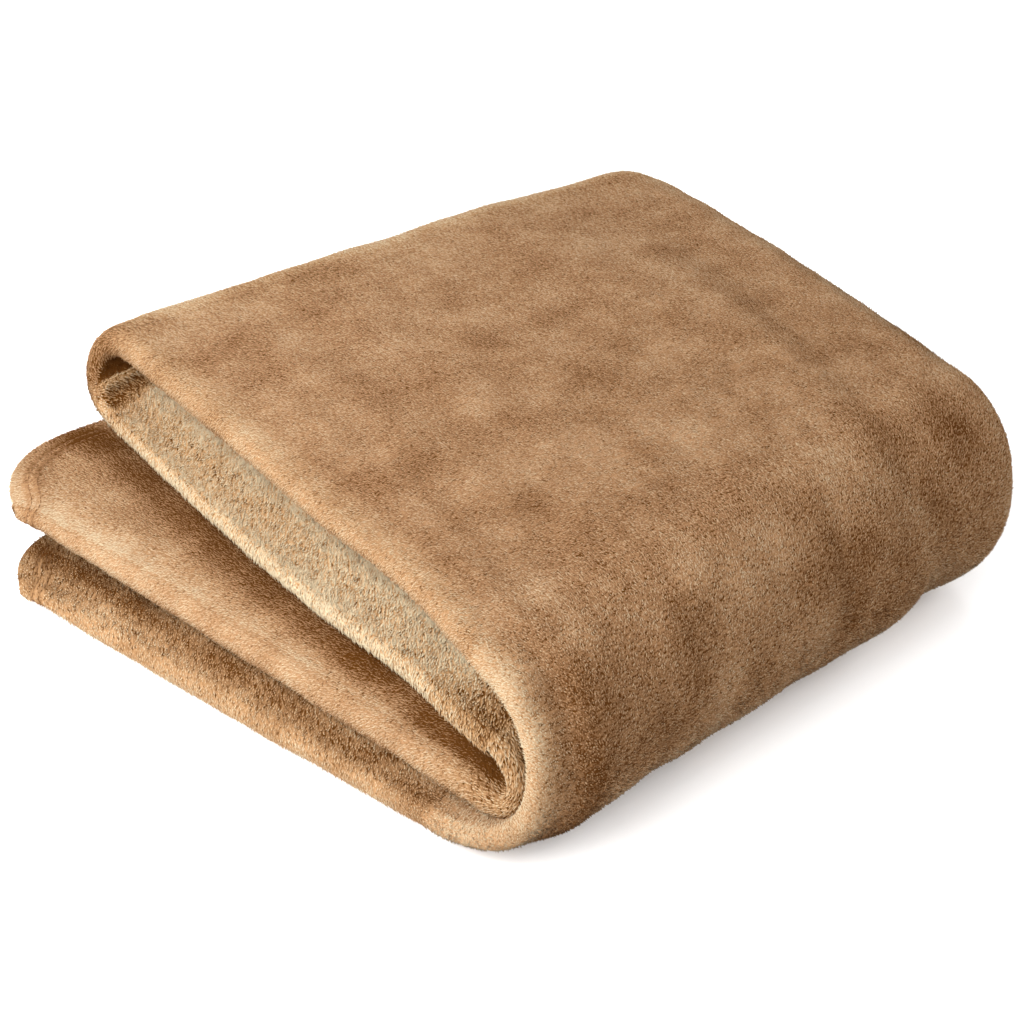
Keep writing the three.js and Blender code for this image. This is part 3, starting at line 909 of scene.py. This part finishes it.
# Size across, up and along a tuft, its lean in degrees, then shares
pileFields = ["Size", "Lean", "Stray", "Clump", "Tone Range", "Softness"]
pileKinds = {
    "smooth": [(0.0010, 0.0007, 0.0016), 66.0, 0.3, 0.15, 0.09, 0.62],
    "standing": [(0.0010, 0.0009, 0.0014), 48.0, 0.36, 0.28, 0.16, 0.5],
    "shaggy": [(0.0013, 0.0009, 0.0028), 65.0, 0.14, 0.16, 0.09, 0.7],
}
pileRules = {
    "leastSize": 0.4,  # share of its size that a hidden tuft keeps, and one at the floor
    "floorFade": 160.0,  # full size at 1/160 m above the floor
    "floorGap": 0.00015,
    "grooveSize": 0.55,
    # painted shade of the tufts along the stitch grooves
    "grooveShade": 0.3,
    "clumpPull": 4.0,
    "tuftCorners": 12.0,
}


# Scatters leaning tufts over one zone of the sheet
def makePileTree():
    inputs = [("Geometry", "Geometry", None), ("Tuft", "Object", None), ("Material", "Material", None),
              ("Zone", "Int", 0), ("Seed", "Int", 0), ("Spacing", "Float", 0.001)]
    for state in ("Brushed", "Rough"):
        inputs.append((state + " Size", "Vector", (0.001, 0.001, 0.002)))
        inputs += [(state + " " + field, "Float", 0.3) for field in pileFields[1:]]
    grooves = dict(zip(("Groove A", "Groove B"), sheetDetail["hemRows"]))
    inputs += [(title, "Float", row * mm) for title, row in grooves.items()]
    inputs += [("Groove Width", "Float", 0.0014), ("Clump Size", "Float", 0.004), ("Sink", "Float", 0.0002)]
    tree, given, result = startGroup("pile", "GeometryNodeTree", inputs, [("Geometry", "Geometry")])
    node, calc, vector, mix, named = (partial(tool, tree) for tool in (addNode, mathOf, vectorOf, mixOf, namedOf))

    def randomOf(low, high, kind, offset):
        seed = calc("ADD", given["Seed"], float(offset))
        made = node("FunctionNodeRandomValue", {"Min": low, "Max": high, "Seed": seed}, data_type=kind)
        return socket(made.outputs, "Value")

    def blended(field, kind="FLOAT"):  # between brushed and rough pile
        return mix(kind, rough, given["Brushed " + field], given["Rough " + field])

    def inGroove(distance):  # the pile is held down along a row of stitches
        beside = calc("DIVIDE", calc("SUBTRACT", named("hem"), distance), given["Groove Width"])
        return calc("EXPONENT", calc("MULTIPLY", calc("MULTIPLY", beside, beside), -1.0))

    def scaled(size, share, least):  # shrinks to the least share of a size
        return vector("SCALE", size, calc("ADD", calc("MULTIPLY", share, 1 - least), least))

    inZone = node("FunctionNodeCompare", {"A": named("zone"), "B": given["Zone"], "Epsilon": 0.5},
                  data_type="FLOAT", operation="EQUAL").outputs[0]
    most = calc("DIVIDE", 2.0, calc("MULTIPLY", given["Spacing"], given["Spacing"]))
    scattered = node("GeometryNodeDistributePointsOnFaces", {
        "Mesh": given["Geometry"], "Selection": inZone, "Distance Min": given["Spacing"], "Density Max": most,
        "Density Factor": named("seen"), "Seed": given["Seed"]}, distribute_method="POISSON")
    away, nap, rough = named("away", "FLOAT_VECTOR"), named("nap", "FLOAT_VECTOR"), named("rough")
    groove = calc("MAXIMUM", inGroove(given["Groove A"]), inGroove(given["Groove B"]))
    position = tree.nodes.new("GeometryNodeInputPosition").outputs[0]

    lean = calc("RADIANS", blended("Lean"))
    clumpPlace = vector("SCALE", position, calc("DIVIDE", 1.0, given["Clump Size"]))
    clump = node("ShaderNodeTexNoise", {"Vector": clumpPlace, "Scale": 1.0, "Detail": 1.0}).outputs["Color"]
    clump = vector("SUBTRACT", clump, (0.5, 0.5, 0.5))
    clump = vector("SCALE", clump, calc("MULTIPLY", blended("Clump"), pileRules["clumpPull"]))
    stray = vector("SCALE", randomOf((-1, -1, -1), (1, 1, 1), "FLOAT_VECTOR", 3), blended("Stray"))
    way = vector("ADD", vector("SCALE", away, calc("COSINE", lean)), vector("SCALE", nap, calc("SINE", lean)))
    way = vector("ADD", vector("ADD", way, clump), stray)
    turned = node("FunctionNodeAlignRotationToVector", {"Vector": way}, axis="Z").outputs[0]
    turned = node("FunctionNodeAlignRotationToVector", {"Rotation": turned, "Vector": away}, axis="Y",
                  pivot_axis="Z").outputs[0]
    uneven = randomOf((0.75, 0.8, 0.7), (1.3, 1.2, 1.3), "FLOAT_VECTOR", 5)
    size = vector("MULTIPLY", blended("Size", "VECTOR"), uneven)
    size = vector("SCALE", size, calc("SUBTRACT", 1.0, calc("MULTIPLY", groove, pileRules["grooveSize"])))
    size = scaled(size, named("seen"), pileRules["leastSize"])
    height = node("ShaderNodeSeparateXYZ", {0: position}).outputs[2]
    size = scaled(size, calc("MULTIPLY", height, pileRules["floorFade"], True), pileRules["leastSize"])

    sink = vector("SCALE", away, calc("MULTIPLY", given["Sink"], -1.0))
    sunk = node("GeometryNodeSetPosition", {"Geometry": scattered.outputs["Points"], "Offset": sink}).outputs[0]
    tuftInfo = node("GeometryNodeObjectInfo", {"Object": given["Tuft"]}).outputs["Geometry"]
    placed = node("GeometryNodeInstanceOnPoints", {
        "Points": sunk, "Instance": tuftInfo, "Rotation": turned, "Scale": size}).outputs[0]
    own = calc("MULTIPLY", randomOf(-1.0, 1.0, "FLOAT", 9), blended("Tone Range"))
    # painted shade along the stitch grooves
    own = calc("SUBTRACT", own, calc("MULTIPLY", groove, pileRules["grooveShade"]))
    toned = stored(tree, placed, "ownTone", own, "FLOAT", "INSTANCE")
    real = node("GeometryNodeRealizeInstances", {"Geometry": toned}).outputs[0]
    place = node("ShaderNodeSeparateXYZ", {0: position}).outputs
    level = calc("MAXIMUM", place[2], pileRules["floorGap"])
    raised = node("ShaderNodeCombineXYZ", {0: place[0], 1: place[1], 2: level}).outputs[0]
    real = node("GeometryNodeSetPosition", {"Geometry": real, "Position": raised}).outputs[0]  # stays above the floor
    index = tree.nodes.new("GeometryNodeInputIndex").outputs[0]
    which = calc("FLOOR", calc("DIVIDE", calc("ADD", index, 0.5), pileRules["tuftCorners"]))
    mapped = stored(tree, real, "OFBake", cellOf(tree, which, toned), "FLOAT2", "CORNER")
    smooth = node("GeometryNodeSetShadeSmooth", {0: mapped}).outputs[0]
    ownNormal = tree.nodes.new("GeometryNodeInputNormal").outputs[0]
    softness = blended("Softness")
    soft = vector("ADD", vector("SCALE", away, softness), vector("SCALE", ownNormal, calc("SUBTRACT", 1.0, softness)))
    smooth = node("GeometryNodeSetMeshNormal", {"Mesh": smooth, "Custom Normal": vector("NORMALIZE", soft)},
                  mode="FREE", domain="POINT").outputs[0]
    finishTree(tree, smooth, ("cell", "seen", "zone", "nap", "away", "hem"), given, result)
    return tree


# Runs a tree on a copy of the piece that it grows on, and returns its result as a plain mesh piece
def grown(name, tree, host, values):
    carrier = linked(name, host.data)
    modifier = carrier.modifiers.new("growing", "NODES")
    modifier.node_group = tree
    for item in tree.interface.items_tree:
        if item.item_type == "SOCKET" and item.in_out == "INPUT" and item.name in values:
            modifier[item.identifier] = values[item.name]
    mesh = bpy.data.meshes.new_from_object(carrier.evaluated_get(bpy.context.evaluated_depsgraph_get()))
    carrier.modifiers.remove(modifier)
    carrier.data = mesh
    mesh.name = name
    print(name, "triangles", len(mesh.polygons))
    return carrier


pileTree = makePileTree()
# Zone, spacing, brushed kind, rough kind
pileZones = {
    "pileTopLeft": (0, 0.00079, "smooth", "standing"),
    "pileTopRight": (1, 0.00079, "smooth", "standing"),
    "pileFront": (2, 0.00079, "smooth", "standing"),
    "pileUnder": (3, 0.00092, "smooth", "shaggy"),
    "pileUpperEnd": (4, 0.00084, "smooth", "shaggy"),
    "pileBottom": (5, 0.0009, "smooth", "shaggy"),
}
piles = []
for name, (zone, spacing, brushed, standing) in pileZones.items():
    values = {"Zone": zone, "Seed": zone + 11, "Spacing": spacing, "Tuft": tuft, "Material": pileFleece}
    for state, kind in (("Brushed ", brushed), ("Rough ", standing)):
        values.update({state + field: value for field, value in zip(pileFields, pileKinds[kind])})
    piles.append(grown(name, pileTree, throwCloth, values))
bpy.data.objects.remove(tuft)

# Two rows of thread along each hemmed end, held down in the pile
stitching = {"pitch": 3.4, "length": 2.5, "radius": 0.22, "lift": 0.12, "floorGap": 0.6, "sides": 6, "tone": 0.25}


# Points of the outer face that lie at one distance from a hemmed end
def hemPath(rowDistance, atStart):
    points = []
    count = sheetDetail["hemSections"]
    order = slice(0, count) if atStart else slice(-1, -count - 1, -1)
    for j in np.nonzero(plies < 3)[0]:
        fromEdge, line = fromHem[order, j] / mm, (fronts + outWay * stitching["lift"] * mm)[order, j]
        beyond = np.nonzero(fromEdge > rowDistance)[0]
        if len(beyond) and beyond[0] > 0:
            k = beyond[0]
            share = (rowDistance - fromEdge[k - 1]) / (fromEdge[k] - fromEdge[k - 1])
            points.append(line[k - 1] + (line[k] - line[k - 1]) * share)
    points = np.array(points)
    points[:, 2] = np.maximum(points[:, 2], stitching["floorGap"] * mm)
    return points


def makeThreadPaths():
    points, edges = [], []
    for atStart in (True, False):
        for rowDistance in sheetDetail["hemRows"]:
            path = hemPath(rowDistance, atStart)
            edges += [(len(points) + k, len(points) + k + 1) for k in range(len(path) - 1)]
            points += [tuple(p) for p in path]
    mesh = bpy.data.meshes.new("threadPaths")
    mesh.from_pydata(points, edges, [])
    return linked("threadPaths", mesh)


# One stitch: a short rounded thread along X with its own map for baking
def makeStitch():
    sides, length, radius = stitching["sides"], stitching["length"] * mm, stitching["radius"] * mm
    angles = [2 * math.pi * k / sides for k in range(sides)]
    points = [(x * length, r * radius * math.cos(a), r * radius * math.sin(a))
              for x, r in ((-0.5, 0.35), (-0.3, 1.0), (0.3, 1.0), (0.5, 0.35)) for a in angles]
    faces = [tuple(reversed(range(sides))), tuple(range(3 * sides, 4 * sides))]
    cells = [[(0.02 + 0.05 * math.cos(k), 0.1 + 0.05 * math.sin(k)) for k in range(sides)]] * 2
    for i in range(3):
        for k in range(sides):
            n = (k + 1) % sides
            faces.append((i * sides + k, i * sides + n, (i + 1) * sides + n, (i + 1) * sides + k))
            v0, v1 = 0.1 + 0.8 * k / sides, 0.1 + 0.8 * (k + 1) / sides
            u0, u1 = 0.15 + 0.25 * i, 0.4 + 0.25 * i
            cells.append([(u0, v0), (u0, v1), (u1, v1), (u1, v0)])
    mesh = bpy.data.meshes.new("stitch")
    mesh.from_pydata(points, [], faces)
    mesh.uv_layers.new(name="cell").data.foreach_set("uv", [c for face in cells for corner in face for c in corner])
    return linked("stitch", mesh)


# Lays stitches end to end along the paths
def makeThreadTree():
    inputs = [("Geometry", "Geometry", None), ("Stitch", "Object", None), ("Material", "Material", None),
              ("Pitch", "Float", None), ("Tone", "Float", None), ("Seed", "Int", None)]
    tree, given, result = startGroup("thread", "GeometryNodeTree", inputs, [("Geometry", "Geometry")])
    node = partial(addNode, tree)
    curves = node("GeometryNodeMeshToCurve", {0: given["Geometry"]}).outputs[0]
    spaced = node("GeometryNodeCurveToPoints", {"Curve": curves, "Length": given["Pitch"]}, mode="LENGTH").outputs
    turned = node("FunctionNodeAlignRotationToVector", {"Vector": spaced["Tangent"]}, axis="X").outputs[0]
    wobble = node("FunctionNodeRandomValue", {
        "Min": (-0.05, -0.12, -0.12), "Max": (0.05, 0.12, 0.12), "Seed": given["Seed"]}, data_type="FLOAT_VECTOR")
    wobble = node("FunctionNodeEulerToRotation", {0: socket(wobble.outputs, "Value")}).outputs[0]
    turned = node("FunctionNodeRotateRotation", {0: turned, 1: wobble}, rotation_space="LOCAL").outputs[0]
    stitchInfo = node("GeometryNodeObjectInfo", {"Object": given["Stitch"]}).outputs["Geometry"]
    placed = node("GeometryNodeInstanceOnPoints", {
        "Points": spaced["Points"], "Instance": stitchInfo, "Rotation": turned}).outputs[0]
    number = tree.nodes.new("GeometryNodeInputIndex").outputs[0]
    numbered = stored(tree, placed, "number", number, "FLOAT", "INSTANCE")
    real = node("GeometryNodeRealizeInstances", {"Geometry": numbered}).outputs[0]
    real = stored(tree, real, "OFBake", cellOf(tree, namedOf(tree, "number"), placed), "FLOAT2", "CORNER")
    real = stored(tree, real, "tip", given["Tone"], "FLOAT", "POINT")
    smooth = node("GeometryNodeSetShadeSmooth", {0: real}).outputs[0]
    finishTree(tree, smooth, ("cell", "number"), given, result)
    return tree


threadPaths = makeThreadPaths()
stitch = makeStitch()
hemThread = grown("hemThread", makeThreadTree(), threadPaths, {
    "Stitch": stitch, "Material": pileFleece, "Pitch": stitching["pitch"] * mm, "Tone": stitching["tone"],
    "Seed": 31})
bpy.data.objects.remove(threadPaths)
bpy.data.objects.remove(stitch)

floorLook = {"half": 4, "colour": (0.95, 0.95, 0.95, 1), "roughness": 0.9}
floorCorners = [[x * floorLook["half"], y * floorLook["half"], 0] for x, y in ((-1, -1), (1, -1), (1, 1), (-1, 1))]
floorMesh = meshFrom("floor", np.array(floorCorners, float), np.array([[0, 1, 2, 3]]))
floor = linked("floor", floorMesh)
floorMaterial = bpy.data.materials.new("floorWhite")
floorMaterial.use_nodes = True
floorMaterial.node_tree.nodes["Principled BSDF"].inputs["Base Color"].default_value = floorLook["colour"]
floorMaterial.node_tree.nodes["Principled BSDF"].inputs["Roughness"].default_value = floorLook["roughness"]
floorMesh.materials.append(floorMaterial)

# Where the soft lights are, seen from the packet: azimuth and elevation in degrees, distance, size, power
lightsAim = Vector((0, 0, 0.04))
worldStrength = 0.67
lights = {
    "keyLight": (178, 32, 0.9, 0.8, 13.8),
    "backLight": (142, 44, 0.95, 0.8, 9.0),
    "sideLight": (240, 38, 1.2, 0.8, 3.2),
    "frontLight": (315, 30, 1.4, 0.8, 10.0),
    "fillLight": (30, 48, 1.3, 0.9, 5.0),
}
world = bpy.data.worlds.new("studio")
world.use_nodes = True
world.node_tree.nodes["Background"].inputs[0].default_value = (1, 1, 1, 1)
world.node_tree.nodes["Background"].inputs[1].default_value = worldStrength
bpy.context.scene.world = world
bpy.context.scene.view_settings.view_transform = "Standard"

for name, (azimuth, elevation, distance, size, power) in lights.items():
    light = linked(name, bpy.data.lights.new(name, "AREA"))
    light.data.shape = "SQUARE"
    light.data.size = size
    light.data.energy = power
    lightWay = wayTo(azimuth, elevation)
    light.location = lightsAim + lightWay * distance
    light.rotation_euler = lightWay.to_track_quat("Z", "Y").to_euler()

for piece in [throwCloth, *piles, hemThread]:
    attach(piece, "root")
    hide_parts("throw_cloth")
